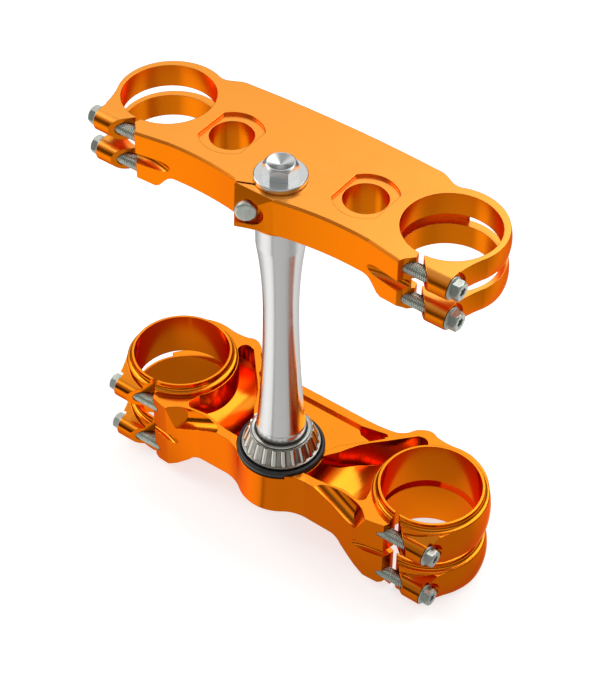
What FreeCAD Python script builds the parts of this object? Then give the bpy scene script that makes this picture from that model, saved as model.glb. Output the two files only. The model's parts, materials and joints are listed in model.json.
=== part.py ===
import FreeCAD, Part
import math
import os
import Sketcher

# Motorcycle triple clamp: an upper and a lower fork clamp on a steering stem,
# with the lower steering bearing, its dust seal, the stem bolt and the pinch screws.
# The origin is on the steering axis at the face of the lower clamp that the bearing
# sits on.  X runs across the forks, -Y is the side with the clamp splits, +Z is up.

V = FreeCAD.Vector
doc = FreeCAD.newDocument("TripleClamp")

# Driving sizes in millimetres and degrees: name, value, what it is.
TABLE = [
    ("fork_spacing", 188.0, "distance between the two fork axes"),
    ("fork_offset", 21.5, "fork axes ahead of or behind the steering axis"),
    ("upper_bore", 54.0, "fork bore diameter, upper clamp"),
    ("lower_bore", 60.0, "fork bore diameter, lower clamp"),
    ("seat_height", 55.3, "bearing seat above the underside of the lower clamp"),
    ("upper_level", 207.7, "top face of the upper clamp above the bearing seat"),
    # upper clamp
    ("upper_depth", 35.0, "height of the upper fork rings"),
    ("upper_web", 23.5, "thickness of the upper clamp between the rings"),
    ("upper_ring_wall", 4.0, "wall of the upper fork ring"),
    ("upper_ring_shift", 1.0, "ring outside centred off the bore, so the back is thicker"),
    ("upper_bulge", 1.1, "barrel height of the ring bands"),
    ("upper_band", 14.2, "height of the upper band of the upper ring"),
    ("upper_slot", 6.8, "height of the slot between the bands"),
    ("upper_slot_reach", 5.2, "depth of the slot disc behind the bore wall"),
    ("upper_back", 58.0, "back edge of the upper clamp on the steering plane"),
    ("upper_front", 19.2, "front edge of the upper clamp on the steering plane"),
    ("upper_screw_y", 32.0, "fork axis to pinch screw axis, upper clamp"),
    ("front_groove_radius", 60.0, "radius of the relief disc in the front face"),
    ("mount_spacing", 89.2, "distance between the handlebar mount holes"),
    ("mount_y", 15.0, "handlebar mount holes behind the steering axis"),
    ("mount_bore", 25.2, "handlebar mount hole diameter"),
    ("mount_recess_radius", 18.4, "round of the recess at a mount hole"),
    ("mount_recess_half", 14.5, "half width over the flats of that recess"),
    ("mount_recess_depth", 1.8, "depth of that recess"),
    ("top_chamfer", 1.2, "chamfer along the front top edge"),
    ("lug_sweep", 60.0, "radius of the hollow flanks of the pinch lugs"),
    ("upper_lug_angle", 24.0, "where an upper lug leaves its ring, from the X axis"),
    # stem pinch at the upper clamp
    ("pinch_angle", 33.0, "pinch screw axis from straight ahead"),
    ("slit_angle", 24.0, "slit direction from the X axis"),
    ("slit_width", 1.2, "width of the slit"),
    ("slit_offset", 8.2, "slit from the steering axis"),
    ("pinch_gap", 0.6, "gap between the pinch screw and the stem"),
    ("pinch_depth", 12.8, "pinch screw axis below the top face"),
    ("pinch_seat", 11.4, "pinch screw seat ahead of the steering axis"),
    ("pinch_recess", 7.6, "radius of the recess round the head"),
    ("pinch_length", 26.0, "length of the pinch screw under its head"),
    ("pinch_head", 12.3, "diameter of the round head of that screw"),
    ("pinch_head_height", 4.8, "height of that head"),
    # lower clamp
    ("plate_sink", 2.3, "bearing seat below the main top face"),
    ("collar_rise", 7.0, "rim of the ring collars above the main top face"),
    ("lower_web_bottom", 26.4, "underside between the rings"),
    ("lower_ring_wall", 4.5, "wall of the lower fork ring"),
    ("lower_lip_wall", 1.5, "wall of the thin lips on the lower rings"),
    ("lower_bulge", 1.5, "barrel height of the lower ring bands"),
    ("lower_band", 24.5, "shoulder of the lower band above the underside"),
    ("lower_slot_low", 29.5, "lower face of the slot"),
    ("lower_slot_high", 35.0, "upper face of the slot"),
    ("lower_slot_reach", 6.6, "depth of the slot disc behind the bore wall"),
    ("lower_lug_angle", 31.8, "where a lower lug leaves its ring, from the X axis"),
    ("lower_chamfer", 4.0, "height of the cone under the lower ring"),
    ("lower_back", 47.0, "back edge of the lower clamp on the steering plane"),
    ("lower_front", 27.0, "radius of the boss round the stem"),
    ("lower_screw_y", 35.0, "fork axis to pinch screw axis, lower clamp"),
    ("lower_screw_drop", 8.6, "upper pinch screw below the main top face"),
    ("lower_screw_low", 14.0, "lower pinch screw above the underside"),
    ("rim_width", 6.0, "rim along the back edge of the lower clamp"),
    ("trough_radius", 26.0, "round floor of the side pockets"),
    ("trough_rise", 5.0, "axis of that round above the main top face"),
    ("trough_x", 50.0, "middle of the side pockets from the steering axis"),
    ("trough_wall", 5.4, "metal between a side pocket and the fork bore"),
    ("scoop_radius", 7.7, "radius of the slanting scoop in the front edge"),
    ("scoop_fall", 24.4, "fall of the scoop's axis towards the fork"),
    ("corner_pocket_depth", 13.0, "depth of the small corner pockets"),
    # pinch screws
    ("screw_dia", 8.0, "thread diameter of the pinch screws"),
    ("screw_length", 40.0, "length of a pinch screw under its head"),
    ("screw_clearance", 0.4, "radial clearance in the lugs"),
    ("upper_seat", 22.2, "pinch screw seat outboard of the fork axis, upper clamp"),
    ("lower_seat", 21.0, "pinch screw seat outboard of the fork axis, lower clamp"),
    ("flange_radius", 6.6, "radius of a pinch screw flange"),
    ("flange_height", 1.5, "height of that flange"),
    ("head_flats", 10.0, "width over the flats of a pinch screw head"),
    ("head_height", 6.1, "height of a pinch screw head with its flange"),
    ("head_recess", 2.7, "radius of the recess in a pinch screw head"),
    ("head_recess_depth", 3.0, "depth of that recess"),
    ("boss_radius", 7.1, "radius of the bosses round the pinch screws"),
    ("spotface_radius", 8.5, "radius of the spotface under a pinch screw"),
    # steering stem
    ("stem_lower", 30.0, "stem diameter in the lower bearing and clamp"),
    ("stem_upper", 28.0, "stem diameter in the upper bearing"),
    ("stem_clamped", 26.0, "stem diameter in the upper clamp"),
    ("stem_neck", 20.6, "smallest outside diameter of the stem"),
    ("stem_hollow", 13.0, "bore of the stem"),
    ("neck_level", 114.0, "level of the neck above the bearing seat"),
    ("flare_level", 23.0, "where the stem starts to narrow above the lower bearing"),
    ("finish_level", 163.0, "where the stem is wide again under the upper clamp"),
    ("stem_tap", 18.0, "thread diameter of the stem bolt"),
    ("tap_depth", 26.0, "depth of the threaded bore"),
    # stem bolt
    ("bolt_flange", 29.5, "diameter of the stem bolt flange"),
    ("bolt_flange_height", 3.4, "height of that flange"),
    ("bolt_flats", 17.0, "width over the flats of the stem bolt"),
    ("bolt_head", 11.2, "height of the stem bolt head with its flange"),
    ("bolt_length", 22.0, "length of the stem bolt under its flange"),
    ("bolt_dish", 7.3, "radius of the dish in the bolt head"),
    ("bolt_dish_depth", 2.4, "depth of that dish"),
    # lower bearing
    ("race_height", 17.0, "height of the inner ring"),
    ("race_small", 18.0, "radius of the small rib"),
    ("race_large", 21.6, "radius of the large rib"),
    ("roller_count", 22, "number of rollers"),
    ("roller_length", 10.6, "length of a roller"),
    ("roller_radius", 1.9, "radius of a roller at mid length"),
    ("roller_level", 10.2, "level of the middle of the rollers above the seat"),
    ("roller_circle", 19.46, "radius from the axis to the middle of a roller"),
    ("roller_tilt", 16.9, "tilt of a roller axis from the steering axis"),
    ("roller_taper", 2.1, "half of a roller's cone angle"),
    ("race_play", 0.05, "running clearance between rollers and inner ring"),
    ("cage_play", 0.15, "clearance of a roller in its cage window"),
    ("cage_wall", 1.0, "thickness of the cage"),
    ("cage_sink", 0.65, "cage outside under the line over the rollers"),
    ("seal_radius", 26.6, "outer radius of the dust seal"),
    ("seal_gap", 0.5, "clearance round the dust seal in its recess"),
    ("seal_height", 4.2, "height of the dust seal"),
    ("seal_inner_height", 3.3, "height of the seal at the inner ring"),
]

sheet = doc.addObject("Spreadsheet::Sheet", "Sizes")
for row, (alias, value, note) in enumerate(TABLE, 1):
    sheet.set("A%d" % row, alias)
    sheet.set("B%d" % row, repr(value))
    sheet.set("C%d" % row, note)
    sheet.setAlias("B%d" % row, alias)
doc.recompute()


class Size:
    """A length or angle: its value now and the formula that gives it."""

    def __init__(self, value, text):
        self.value = float(value)
        self.text = text

    def __add__(self, other):
        other = as_size(other)
        return Size(self.value + other.value, "(%s + %s)" % (self.text, other.text))

    def __sub__(self, other):
        other = as_size(other)
        return Size(self.value - other.value, "(%s - %s)" % (self.text, other.text))

    def __mul__(self, other):
        other = as_size(other)
        return Size(self.value * other.value, "(%s * %s)" % (self.text, other.text))

    def __truediv__(self, other):
        other = as_size(other)
        return Size(self.value / other.value, "(%s / %s)" % (self.text, other.text))

    def __radd__(self, other):
        return as_size(other) + self

    def __rsub__(self, other):
        return as_size(other) - self

    def __rmul__(self, other):
        return as_size(other) * self

    def __neg__(self):
        return Size(-self.value, "(0 - %s)" % self.text)


def as_size(thing):
    if isinstance(thing, Size):
        return thing
    return Size(thing, repr(float(thing)))


def root(thing):
    thing = as_size(thing)
    return Size(math.sqrt(thing.value), "sqrt(%s)" % thing.text)


def sine(thing):
    thing = as_size(thing)
    return Size(math.sin(math.radians(thing.value)), "sin(%s)" % thing.text)


def cosine(thing):
    thing = as_size(thing)
    return Size(math.cos(math.radians(thing.value)), "cos(%s)" % thing.text)


def tangent(thing):
    return sine(thing) / cosine(thing)


class Sizes:
    """The sheet's cells, each read by its alias."""

    def __getattr__(self, alias):
        return Size(getattr(sheet, alias), "Sizes." + alias)


d = Sizes()


def bind(thing, path, size):
    thing.setExpression(path, as_size(size).text)


def plane(body, role):
    for feature in body.Origin.OriginFeatures:
        if feature.Role == role:
            return feature
    raise RuntimeError("no plane " + role)


def arc_between(a, b, radius):
    """Arc from a to b; a positive radius turns left, a negative one right."""
    chord = b - a
    length = chord.Length
    rise = math.sqrt(max(radius * radius - length * length / 4.0, 0.0))
    side = V(-chord.y, chord.x, 0) / length
    if radius < 0:
        side = -side
    centre = (a + b) * 0.5 + side * rise
    first, last = (a, b) if radius > 0 else (b, a)
    start = math.atan2(first.y - centre.y, first.x - centre.x)
    stop = math.atan2(last.y - centre.y, last.x - centre.x)
    if stop <= start:
        stop += 2 * math.pi
    return Part.ArcOfCircle(Part.Circle(centre, V(0, 0, 1), abs(radius)), start, stop)


def draw_loop(sketch, corners):
    """Closed loop of lines and arcs.  A third entry is the radius of the arc that
    leaves that corner."""
    base = sketch.GeometryCount
    count = len(corners)
    points = [V(as_size(c[0]).value, as_size(c[1]).value, 0) for c in corners]
    starts = []
    for i in range(count):
        a, b = points[i], points[(i + 1) % count]
        if len(corners[i]) == 3:
            radius = as_size(corners[i][2]).value
            sketch.addGeometry(arc_between(a, b, radius), False)
            starts.append((1, 2) if radius > 0 else (2, 1))
        else:
            sketch.addGeometry(Part.LineSegment(a, b), False)
            starts.append((1, 2))
    rules = []
    formulas = []
    for i in range(count):
        j = (i + 1) % count
        rules.append(Sketcher.Constraint("Coincident", base + i, starts[i][1], base + j, starts[j][0]))
        formulas.append(None)
    for i, corner in enumerate(corners):
        for kind, value in (("DistanceX", corner[0]), ("DistanceY", corner[1])):
            rules.append(Sketcher.Constraint(kind, base + i, starts[i][0], as_size(value).value))
            formulas.append(value)
        if len(corner) == 3:
            other = corners[(i + 1) % count]
            chord = points[(i + 1) % count] - points[i]
            bend = corner[2] if as_size(corner[2]).value > 0 else -as_size(corner[2])
            if chord.Length > 1.999 * as_size(bend).value:
                # A half circle is held by its centre, which lies between its ends.
                k = 0 if abs(chord.y) > abs(chord.x) else 1
                middle = (as_size(corner[k]) + as_size(other[k])) / 2
                rules.append(Sketcher.Constraint("Distance" + "XY"[k], base + i, 3, middle.value))
                formulas.append(middle)
            else:
                rules.append(Sketcher.Constraint("Radius", base + i, as_size(bend).value))
                formulas.append(bend)
    add_rules(sketch, rules, formulas)


def draw_circle(sketch, x, y, radius):
    index = sketch.GeometryCount
    x, y, radius = as_size(x), as_size(y), as_size(radius)
    sketch.addGeometry(Part.Circle(V(x.value, y.value, 0), V(0, 0, 1), radius.value), False)
    rules = [
        Sketcher.Constraint("DistanceX", index, 3, x.value),
        Sketcher.Constraint("DistanceY", index, 3, y.value),
        Sketcher.Constraint("Radius", index, radius.value),
    ]
    add_rules(sketch, rules, [x, y, radius])


def add_rules(sketch, rules, formulas):
    numbers = sketch.addConstraint(rules)
    for number, formula in zip(numbers, formulas):
        if isinstance(formula, Size) and "Sizes." in formula.text:
            name = "size%d" % number
            sketch.renameConstraint(number, name)
            sketch.setExpression("Constraints." + name, formula.text)


def new_sketch(body, name, role, offset=(0, 0, 0), turn=None):
    """Sketch on an origin plane, moved in that plane's own axes."""
    sketch = body.newObject("Sketcher::SketchObject", name)
    sketch.AttachmentSupport = [(plane(body, role), "")]
    sketch.MapMode = "FlatFace"
    if turn is not None:
        sketch.AttachmentOffset = FreeCAD.Placement(V(0, 0, 0), FreeCAD.Rotation(V(0, 1, 0), turn.value))
        bind(sketch, "AttachmentOffset.Rotation.Angle", turn)
    for axis, size in zip("xyz", offset):
        bind(sketch, "AttachmentOffset.Base." + axis, size)
    return sketch


def profile(body, name, role, corners, offset=(0, 0, 0), turn=None):
    sketch = new_sketch(body, name, role, offset, turn)
    draw_loop(sketch, corners)
    return sketch


def circles(body, name, role, rounds, offset=(0, 0, 0), turn=None):
    sketch = new_sketch(body, name, role, offset, turn)
    for x, y, radius in rounds:
        draw_circle(sketch, x, y, radius)
    return sketch


def new_body(label):
    body = doc.addObject("PartDesign::Body", label)
    body.Label = label
    return body


def extrude(body, kind, sketch, length, reverse=False, both=False):
    feature = body.newObject("PartDesign::" + kind, sketch.Name + kind)
    feature.Profile = sketch
    bind(feature, "Length", length)
    feature.Reversed = reverse
    if both:
        feature.SideType = "Symmetric"
    return feature


def pad(body, sketch, length, reverse=False, both=False):
    return extrude(body, "Pad", sketch, length, reverse, both)


def pocket(body, sketch, length, reverse=False, both=False):
    return extrude(body, "Pocket", sketch, length, reverse, both)


def turned(body, kind, sketch):
    """Revolution or groove about the sketch's own vertical axis."""
    feature = body.newObject("PartDesign::" + kind, sketch.Name + kind)
    feature.Profile = sketch
    feature.ReferenceAxis = (sketch, ["V_Axis"])
    feature.Angle = 360.0
    return feature


def mirror_half(body):
    """Second half of a clamp, as the mirror image of the first."""
    doc.recompute()
    feature = body.newObject("PartDesign::Mirrored", body.Name + "Mirror")
    feature.TransformMode = "Whole shape"
    feature.MirrorPlane = (plane(body, "YZ_Plane"), [""])
    body.Tip = feature
    return feature


def dress(body, kind, size, chosen):
    """Fillet or chamfer on the edges of the tip that the test picks."""
    doc.recompute()
    tip = body.Tip
    names = ["Edge%d" % (i + 1) for i, edge in enumerate(tip.Shape.Edges) if chosen(edge)]
    if not names:
        raise RuntimeError("no edges for " + kind + " on " + body.Name)
    feature = body.newObject("PartDesign::" + kind, "%s%s%d" % (body.Name, kind, len(body.Group)))
    feature.Base = (tip, names)
    bind(feature, "Radius" if kind == "Fillet" else "Size", size)
    body.Tip = feature
    return feature


def place(thing, x, y, z):
    for axis, size in zip("xyz", (x, y, z)):
        bind(thing, "Placement.Base." + axis, size)


fork_x = d.fork_spacing / 2
upper_r = d.upper_bore / 2
lower_r = d.lower_bore / 2
screw_r = d.screw_dia / 2

# Upper clamp, modelled with its top face at zero and hung at its level.  Right half
# first: the web between the rings, its underside, then the ring in two barrel bands.
upper = new_body("upper_clamp")
ring_x = fork_x - d.upper_ring_shift
ring_y = d.fork_offset + d.upper_ring_shift
ring_r = upper_r + d.upper_ring_wall
screw_y = d.fork_offset - d.upper_screw_y
front = -d.upper_front
blend_x = ring_x - 12
blend_y = ring_y + root(ring_r * ring_r - 144)
pad(upper, profile(upper, "UpperWeb", "XY_Plane", [
    (0, front),
    (8, front + 1.7, -190),
    (fork_x - 28, front + 5.8),
    (fork_x - 7, front + 2.2),
    (fork_x - 5.4, screw_y - 3.3),
    (fork_x - 1.1, screw_y + 1.2),
    (fork_x - 2.1, screw_y + 5),
    (fork_x, d.fork_offset),
    (blend_x, blend_y, -9),
    (fork_x - 19.5, d.upper_back - 6.2),
    (fork_x - 23, d.upper_back - 4.4, 14),
    (fork_x - 31, d.upper_back - 2.2, 870),
    (0, d.upper_back),
], (0, 0, -d.upper_depth)), d.upper_depth)


def on_front_top(edge):
    middle = edge.CenterOfMass
    return abs(middle.z) < 0.01 and middle.y < screw_y.value and middle.x < fork_x.value - 7


dress(upper, "Chamfer", d.top_chamfer, on_front_top)
pocket(upper, profile(upper, "UpperUnder", "XZ_Plane", [
    (0, -d.upper_depth - 1),
    (fork_x - 14, -d.upper_depth - 1),
    (fork_x - 17.5, -d.upper_depth + 2),
    (fork_x - 21, -d.upper_web - 7.8),
    (fork_x - 25, -d.upper_web - 3, 9),
    (fork_x - 33, -d.upper_web),
    (0, -d.upper_web),
]), 4 * d.upper_back, both=True)
pocket(upper, profile(upper, "UpperToe", "YZ_Plane", [
    (screw_y - 15, -d.upper_depth + 4.3),
    (screw_y - 6.5, -d.upper_depth + 4),
    (screw_y - 1.5, -d.upper_depth),
    (screw_y - 1.5, -d.upper_depth - 2),
    (screw_y - 15, -d.upper_depth - 2),
], (0, 0, fork_x - 34)), 40, reverse=True)

lower_band_top = -(d.upper_band + d.upper_slot)
band_bend = d.upper_band * d.upper_band / (8 * d.upper_bulge) + d.upper_bulge / 2
low_band = d.upper_depth + lower_band_top
turned(upper, "Revolution", profile(upper, "UpperRing", "XZ_Plane", [
    (0, -d.upper_depth),
    (ring_r, -d.upper_depth, band_bend),
    (ring_r, lower_band_top),
    (ring_r, -d.upper_band, band_bend),
    (ring_r, 0),
    (0, 0),
], (ring_x, 0, -ring_y)))

# Pinch lugs: each band runs forward into a full round boss about its screw, and its
# barrel shape carries on along the hollow flank, a disc cut that leaves the ring smoothly.
flank_out = ring_r + d.lug_sweep - 0.1
flank_end = (ring_r + d.upper_bulge) * cosine(d.upper_lug_angle) + 0.3
lug_root = ring_y - ring_r * sine(d.upper_lug_angle)
upper_high = -d.upper_band / 2
upper_low = -d.upper_depth + low_band / 2
for name, middle, half in (
    ("UpperLugHigh", upper_high, d.upper_band / 2),
    ("UpperLugLow", upper_low, low_band / 2),
):
    pad(upper, profile(upper, name, "YZ_Plane", [
        (screw_y, middle + half, half),
        (screw_y, middle - half),
        (lug_root, middle - half),
        (lug_root, middle + half),
    ], (0, 0, ring_x)), flank_end)
turned(upper, "Groove", profile(upper, "UpperFlank", "XZ_Plane", [
    (0, -d.upper_depth - 1),
    (d.lug_sweep, -d.upper_depth - 1),
    (d.lug_sweep, -d.upper_depth, -band_bend),
    (d.lug_sweep, lower_band_top),
    (d.lug_sweep, -d.upper_band, -band_bend),
    (d.lug_sweep, 0),
    (d.lug_sweep, 1),
    (0, 1),
], (ring_x + flank_out * cosine(d.upper_lug_angle), 0, flank_out * sine(d.upper_lug_angle) - ring_y)))
upper_seat = fork_x + d.upper_seat
pocket(upper, circles(upper, "UpperSpotface", "YZ_Plane", [
    (screw_y, upper_high, d.spotface_radius),
    (screw_y, upper_low, d.spotface_radius),
], (0, 0, upper_seat)), 20, reverse=True)

# Fork bore, the split at its front, the slot between the bands, the relief in the front face.
pocket(upper, profile(upper, "UpperSplit", "XY_Plane", [
    (fork_x - 2.1, screw_y + 12),
    (fork_x - 2.1, screw_y + 5),
    (fork_x - 1.1, screw_y + 1.2),
    (fork_x - 5.4, screw_y - 3.3),
    (fork_x - 7, screw_y - 6.6),
    (fork_x - 7, screw_y - 10),
    (fork_x + 14.5, screw_y - 10),
    (fork_x + 5.7, screw_y - 0.8),
    (fork_x + 1.4, screw_y + 4.2),
    (fork_x + 1.2, screw_y + 12),
], (0, 0, 1)), d.upper_depth + 2)
pocket(upper, circles(upper, "UpperBore", "XY_Plane", [
    (fork_x, d.fork_offset, upper_r),
], (0, 0, 1)), d.upper_depth + 2)
pocket(upper, circles(upper, "UpperBandSlot", "XY_Plane", [
    (fork_x, d.fork_offset, upper_r + d.upper_slot_reach),
], (0, 0, -d.upper_band)), d.upper_slot)
groove_r = d.front_groove_radius
groove_nose = d.upper_slot / 2
turned(upper, "Groove", profile(upper, "UpperRelief", "XZ_Plane", [
    (0, lower_band_top),
    (groove_r - groove_nose, lower_band_top, groove_nose),
    (groove_r - groove_nose, -d.upper_band),
    (0, -d.upper_band),
], (fork_x - 10, 0, groove_r - screw_y)))

# Pinch screw holes: clear in the lug, threaded in the body.
for name, radius, start, stop in (
    ("UpperClear", screw_r + d.screw_clearance, upper_seat + 1, fork_x),
    ("UpperThread", screw_r, fork_x, upper_seat - d.screw_length - 2),
):
    pocket(upper, circles(upper, name, "YZ_Plane", [
        (screw_y, upper_high, radius),
        (screw_y, upper_low, radius),
    ], (0, 0, start)), start - stop)

# Handlebar mount hole with its recess, round at front and back and flat at the sides.
mount_x = d.mount_spacing / 2
flat = d.mount_recess_half
rise = root(d.mount_recess_radius * d.mount_recess_radius - flat * flat)
pocket(upper, profile(upper, "MountRecess", "XY_Plane", [
    (mount_x - flat, d.mount_y - rise, d.mount_recess_radius),
    (mount_x + flat, d.mount_y - rise),
    (mount_x + flat, d.mount_y + rise, d.mount_recess_radius),
    (mount_x - flat, d.mount_y + rise),
]), d.mount_recess_depth)
pocket(upper, circles(upper, "MountHole", "XY_Plane", [
    (mount_x, d.mount_y, d.mount_bore / 2),
], (0, 0, 1)), d.upper_depth + 2)
mirror_half(upper)
pad(upper, circles(upper, "UpperHub", "XY_Plane", [(0, 0, 18)], (0, 0, -d.upper_web - 2)), 3)

# Stem bore, and the lip in front of it that the stem pinch screw closes.  The lip's own
# axes are turned with the screw: across is along the lip, ahead is along the screw.
pinch_reach = (d.stem_clamped + d.screw_dia) / 2 + d.pinch_gap
across_x, across_y = cosine(d.pinch_angle), sine(d.pinch_angle)
ahead_x, ahead_y = sine(d.pinch_angle), -cosine(d.pinch_angle)


def lip_point(across, ahead):
    return (across_x * across + ahead_x * ahead, across_y * across + ahead_y * ahead)


lip_left = -pinch_reach - 6.6
left_start = lip_point(lip_left, 0)
left_front = lip_point(lip_left, 13.2)
pad(upper, profile(upper, "LipBoss", "XY_Plane", [
    left_start,
    (left_front[0], left_front[1], -130),
    (8, front + 1.7),
    (8, front + 8),
    (-6, front + 6),
]), d.upper_web, reverse=True)
pocket(upper, profile(upper, "LipSlope", "YZ_Plane", [
    (front + 1.9, 0.0),
    (front - 5.1, -18.2),
    (front - 14, -18.2),
    (front - 14, 2),
    (front + 1.9, 2),
], (0, 0, -30)), 45, reverse=True)
pocket(upper, circles(upper, "StemBore", "XY_Plane", [
    (0, 0, d.stem_clamped / 2),
], (0, 0, 1)), d.upper_depth + 2)
slit_x, slit_y = cosine(d.slit_angle), sine(d.slit_angle)


def slit_point(along, aside):
    return (slit_x * along + slit_y * aside, slit_y * along - slit_x * aside)


near = d.slit_offset - d.slit_width / 2
far = d.slit_offset + d.slit_width / 2
pocket(upper, profile(upper, "Slit", "XY_Plane", [
    slit_point(-8, near),
    slit_point(-22.5, near),
    slit_point(-25.5, near - 1.5),
    slit_point(-27.5, near + 1),
    slit_point(-25.5, far + 1.2),
    slit_point(-22.5, far),
    slit_point(-8, far),
], (0, 0, 1)), d.upper_depth + 2)
pinch_plane = (ahead_x * d.pinch_seat, 0, -ahead_y * d.pinch_seat)
pinch_r = d.pinch_recess
pocket(upper, profile(upper, "PinchRecess", "XZ_Plane", [
    (-pinch_reach - 12, -d.pinch_depth - pinch_r),
    (-pinch_reach + 2, -d.pinch_depth - pinch_r, pinch_r),
    (-pinch_reach + 2, -d.pinch_depth + pinch_r),
    (-pinch_reach - 12, -d.pinch_depth + pinch_r),
], pinch_plane, d.pinch_angle), 20, reverse=True)
pocket(upper, circles(upper, "PinchHole", "XZ_Plane", [
    (-pinch_reach, -d.pinch_depth, screw_r),
], pinch_plane, d.pinch_angle), d.pinch_length + 2)
place(upper, 0, 0, d.upper_level)

# Lower clamp, modelled from its underside.  Right half first, as above: the plate with
# its raised corner behind the ring, the sloping underside, then the ring with its lips.
lower = new_body("lower_clamp_right")
top = d.seat_height + d.plate_sink
collar = top + d.collar_rise
lower_high = top - d.lower_screw_drop
low_y = d.fork_offset - d.lower_screw_y
ring_out = lower_r + d.lower_ring_wall
hub = d.lower_front
pad(lower, profile(lower, "LowerPlate", "XY_Plane", [
    (0, -hub, hub),
    (15.5, -root(hub * hub - 240.25), -24),
    (32, low_y - 3.3),
    (fork_x - 44, low_y - 3.5, 160),
    (fork_x - 19, low_y - 5.5, 120),
    (fork_x - 7.3, low_y - 3),
    (fork_x - 6, low_y - 0.2),
    (fork_x - 5, low_y + 4),
    (fork_x, d.fork_offset),
    (fork_x + 27, d.fork_offset + 21.5, 36.5),
    (fork_x + 3, d.fork_offset + 39, 30),
    (fork_x - 6, d.fork_offset + 39.2, -40),
    (fork_x - 22, d.fork_offset + 39.3, 8),
    (fork_x - 32, d.fork_offset + 38.8, 10),
    (fork_x - 37, d.fork_offset + 33, -14),
    (fork_x - 44, d.lower_back + 2, -90),
    (30, d.lower_back),
    (0, d.lower_back),
]), top)
pocket(lower, profile(lower, "LowerUnder", "XZ_Plane", [
    (0, -1),
    (fork_x - 4, -1),
    (fork_x - 4, 8.5),
    (fork_x - 10, 5.3),
    (fork_x - 19.4, 7.4),
    (fork_x - 26, 12.1),
    (fork_x - 36.5, 22, 9),
    (fork_x - 44, d.lower_web_bottom),
    (0, d.lower_web_bottom),
]), 4 * d.lower_back, both=True)

lip_out = lower_r + d.lower_lip_wall
shoulder = top + 2.2
high_band = shoulder - d.lower_slot_high
low_height = d.lower_band - d.lower_chamfer
high_bend = high_band * high_band / (8 * d.lower_bulge) + d.lower_bulge / 2
low_bend = low_height * low_height / (8 * d.lower_bulge) + d.lower_bulge / 2
turned(lower, "Revolution", profile(lower, "LowerRing", "XZ_Plane", [
    (0, 0),
    (ring_out - 2.5, 0),
    (ring_out, d.lower_chamfer, low_bend),
    (ring_out, d.lower_band),
    (ring_out - 0.5, d.lower_band + 0.5, -2.6),
    (lip_out, d.lower_band + 2.8),
    (lip_out, d.lower_slot_low),
    (lip_out, d.lower_slot_high),
    (ring_out, d.lower_slot_high + 0.6, high_bend),
    (ring_out, shoulder),
    (ring_out - 0.5, shoulder + 0.5, -2.6),
    (lip_out, shoulder + 2.8),
    (lip_out, collar),
    (0, collar),
], (fork_x, 0, -d.fork_offset)))

# Pinch lugs of the lower clamp, with flanks as on the upper clamp.
lug_low = d.boss_radius
flank_out = ring_out + d.lug_sweep - 0.1
flank_end = (ring_out + d.lower_bulge) * cosine(d.lower_lug_angle) + 0.3
lug_root = d.fork_offset - ring_out * sine(d.lower_lug_angle)
lower_seat = fork_x + d.lower_seat
for name, middle, roof, floor in (
    ("LowerLugHigh", lower_high, shoulder - 0.3, d.lower_slot_high),
    ("LowerLugLow", d.lower_screw_low, d.lower_band - 0.3, d.lower_chamfer),
):
    pad(lower, profile(lower, name, "YZ_Plane", [
        (low_y, middle + lug_low, lug_low),
        (low_y, middle - lug_low),
        (low_y + 12, floor),
        (lug_root, floor),
        (lug_root, roof),
        (low_y + 8, roof),
    ], (0, 0, fork_x - 3)), flank_end + 3)
turned(lower, "Groove", profile(lower, "LowerFlank", "XZ_Plane", [
    (0, -1),
    (d.lug_sweep, -1),
    (d.lug_sweep, d.lower_chamfer, -low_bend),
    (d.lug_sweep, d.lower_band),
    (d.lug_sweep, d.lower_slot_high + 0.6, -high_bend),
    (d.lug_sweep, shoulder),
    (d.lug_sweep, collar + 1),
    (0, collar + 1),
], (fork_x + flank_out * cosine(d.lower_lug_angle), 0, flank_out * sine(d.lower_lug_angle) - d.fork_offset)))
pocket(lower, circles(lower, "LowerSpotface", "YZ_Plane", [
    (low_y, lower_high, d.spotface_radius),
    (low_y, d.lower_screw_low, d.spotface_radius),
], (0, 0, lower_seat)), 20, reverse=True)

# Fork bore, split, slot between the bands and the short relief at the front corner.
whole = collar + 2
pocket(lower, profile(lower, "LowerSplit", "XY_Plane", [
    (fork_x - 5, low_y + 12),
    (fork_x - 5, low_y + 4),
    (fork_x - 6, low_y - 0.2),
    (fork_x - 7.3, low_y - 3),
    (fork_x - 8, low_y - 12),
    (fork_x + 16.8, low_y - 12),
    (fork_x + 11.2, low_y - 7.1),
    (fork_x - 2.2, low_y + 4.6),
    (fork_x - 2.2, low_y + 12),
], (0, 0, -1)), whole, reverse=True)
pocket(lower, circles(lower, "LowerBore", "XY_Plane", [
    (fork_x, d.fork_offset, lower_r),
], (0, 0, -1)), whole, reverse=True)
slot_high = d.lower_slot_high - d.lower_slot_low
pocket(lower, circles(lower, "LowerBandSlot", "XY_Plane", [
    (fork_x, d.fork_offset, lower_r + d.lower_slot_reach),
], (0, 0, d.lower_slot_low)), slot_high, reverse=True)
pocket(lower, profile(lower, "LowerBackSlot", "XY_Plane", [
    (fork_x, d.fork_offset),
    (fork_x + 50, d.fork_offset),
    (fork_x + 50, d.fork_offset + 50),
    (fork_x - 20, d.fork_offset + 50),
], (0, 0, d.lower_slot_low)), slot_high, reverse=True)
low_nose = slot_high / 2
turned(lower, "Groove", profile(lower, "LowerRelief", "XZ_Plane", [
    (0, d.lower_slot_low),
    (groove_r - low_nose, d.lower_slot_low, low_nose),
    (groove_r - low_nose, d.lower_slot_high),
    (0, d.lower_slot_high),
], (fork_x - 4, 0, groove_r - low_y)))
for name, radius, start, stop in (
    ("LowerClear", screw_r + d.screw_clearance, lower_seat + 1, fork_x),
    ("LowerThread", screw_r, fork_x, lower_seat - d.screw_length - 2),
):
    pocket(lower, circles(lower, name, "YZ_Plane", [
        (low_y, lower_high, radius),
        (low_y, d.lower_screw_low, radius),
    ], (0, 0, start)), start - stop)

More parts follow.
